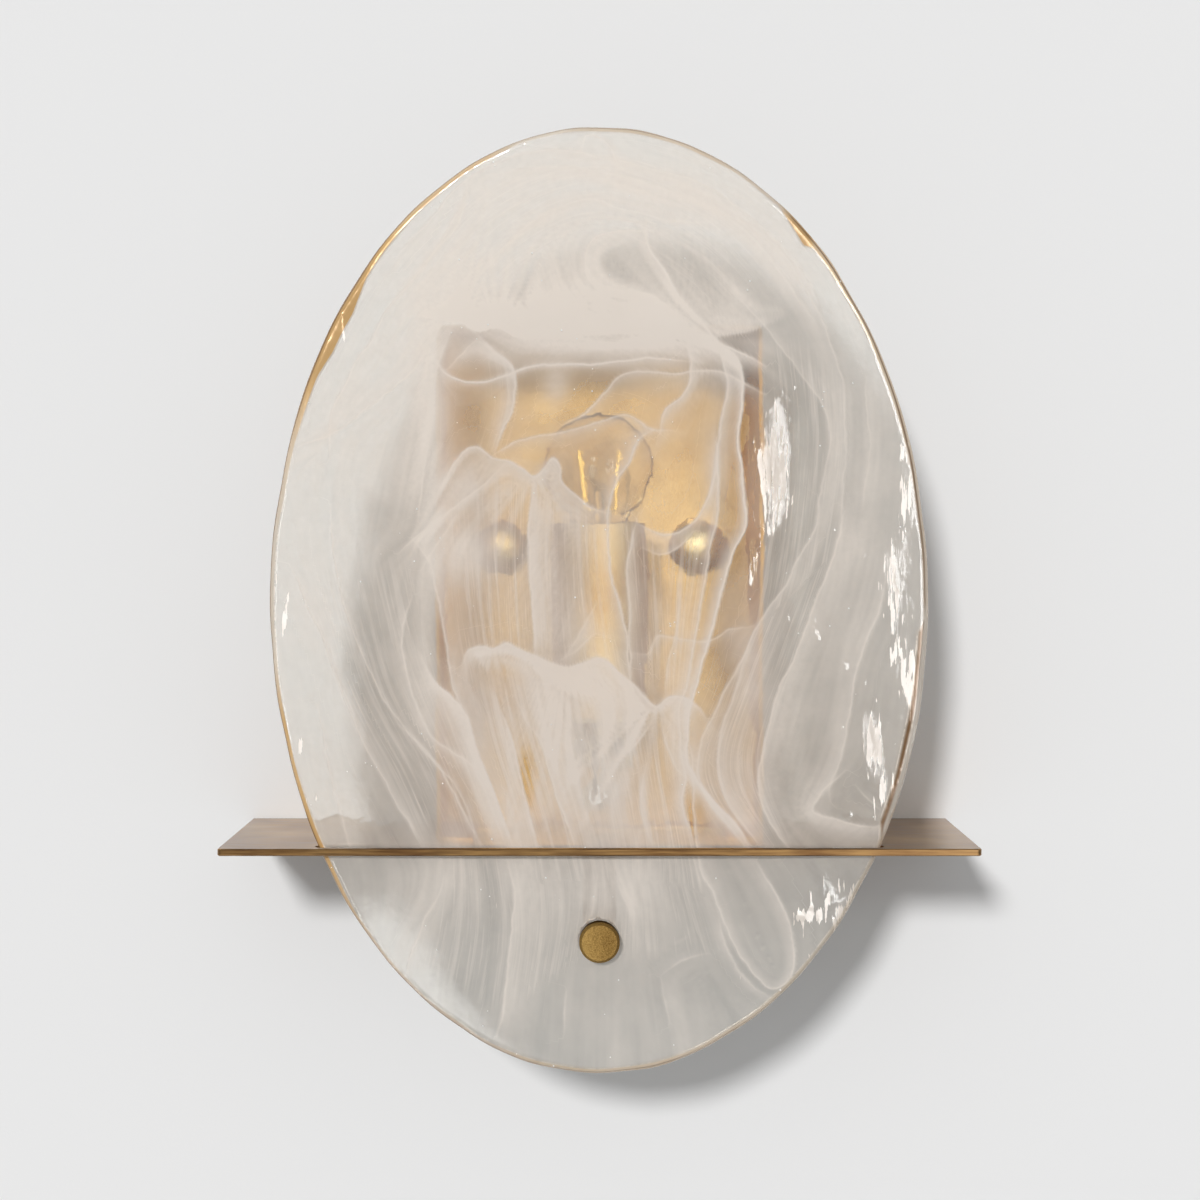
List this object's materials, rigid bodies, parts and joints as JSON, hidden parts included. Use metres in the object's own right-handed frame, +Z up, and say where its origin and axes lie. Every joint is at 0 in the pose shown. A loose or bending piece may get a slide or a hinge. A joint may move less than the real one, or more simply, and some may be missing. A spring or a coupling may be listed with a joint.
{
  "type": "wall sconce",
  "caption": "Wall light: an oval dished glass with milky wisps stands in a slotted brass shelf, in front of a brass housing that holds a globe lamp.",
  "frame": {"origin": "the middle of the wall box's screw pattern, on the wall face of the mounting plate", "axes": "+Y into the wall, -Y towards the room, +Z up, +X to the right seen from the room"},
  "size_m": [0.32, 0.1021, 0.398],
  "materials": {
    "brushed_brass": "fine brushed, clear lacquered brass sheet",
    "antique_brass": "satin brass, darkened on its edges",
    "polished_brass": "turned and polished brass",
    "knob_brass": "turned satin brass",
    "zinc_steel": "zinc-plated pressed steel",
    "steel_screws": "zinc-plated fasteners",
    "green_screw": "green dyed earthing screw",
    "wispy_glass": "clear handmade glass with milky wisps and a bronze line round the rim",
    "lamp_glass": "clear blown glass",
    "black_glass": "opaque black glass",
    "silicone": "translucent silicone",
    "rubber": "moulded black rubber",
    "nylon": "moulded natural nylon",
    "phenolic": "moulded black phenolic",
    "nickel_shell": "nickel-plated rolled sheet",
    "tin_solder": "solder-tinned contact",
    "phosphor": "yellow phosphor coating on glass rods",
    "black_lead": "extruded black insulation",
    "white_lead": "extruded white insulation"
  },
  "bodies": {
    "fixture": {"mounting_plate": "zinc_steel", "mounting_studs": "zinc_steel", "ground_screw": "green_screw", "back_panel": "brushed_brass", "surround_band": "brushed_brass", "cap_nut_washers": "polished_brass", "cap_nuts": "polished_brass", "shelf_plate": "antique_brass", "shelf_screws": "steel_screws", "glass_shell": "wispy_glass", "slot_pads": "silicone", "glass_arm": "antique_brass", "arm_screws": "steel_screws", "arm_bush": "polished_brass", "glass_sleeve": "nylon", "glass_rear_washer": "rubber", "lamp_bracket": "zinc_steel", "bracket_screws": "steel_screws", "bracket_nuts": "steel_screws", "lamp_nipple": "zinc_steel", "nipple_nuts": "steel_screws", "lampholder_cup": "brushed_brass", "socket_body": "phenolic", "socket_shell": "nickel_shell", "socket_contact": "polished_brass", "wire_bushing": "nylon", "terminal_block": "nylon", "block_screw": "steel_screws", "live_lead": "black_lead", "neutral_lead": "white_lead"},
    "knob_washer": {"knob_washer": "nylon"},
    "knob": {"glass_knob": "knob_brass"},
    "lamp": {"bulb_cap": "nickel_shell", "bulb_insulator": "black_glass", "bulb_contact": "tin_solder", "bulb_envelope": "lamp_glass", "bulb_stem": "lamp_glass", "bulb_filaments": "phosphor"}
  },
  "joints": [
    {"name": "knob_travel", "type": "slide", "parent": "fixture", "child": "knob_washer", "axis": [0, -1, 0], "range_m": [0, 0.007]},
    {"name": "knob_turn", "type": "hinge", "parent": "knob_washer", "child": "knob", "pos_m": [0, -0.096, -0.165], "axis": [0, -1, 0], "range_deg": [0, 2520]},
    {"name": "lamp_turn", "type": "hinge", "parent": "fixture", "child": "lamp", "pos_m": [0, -0.049, 0], "axis": [0, 0, 1], "range_deg": [0, 900]}
  ],
  "couplings": [
    {"joint": "knob_travel", "follows": "knob_turn", "m_per_rad": 0.00015915}
  ]
}
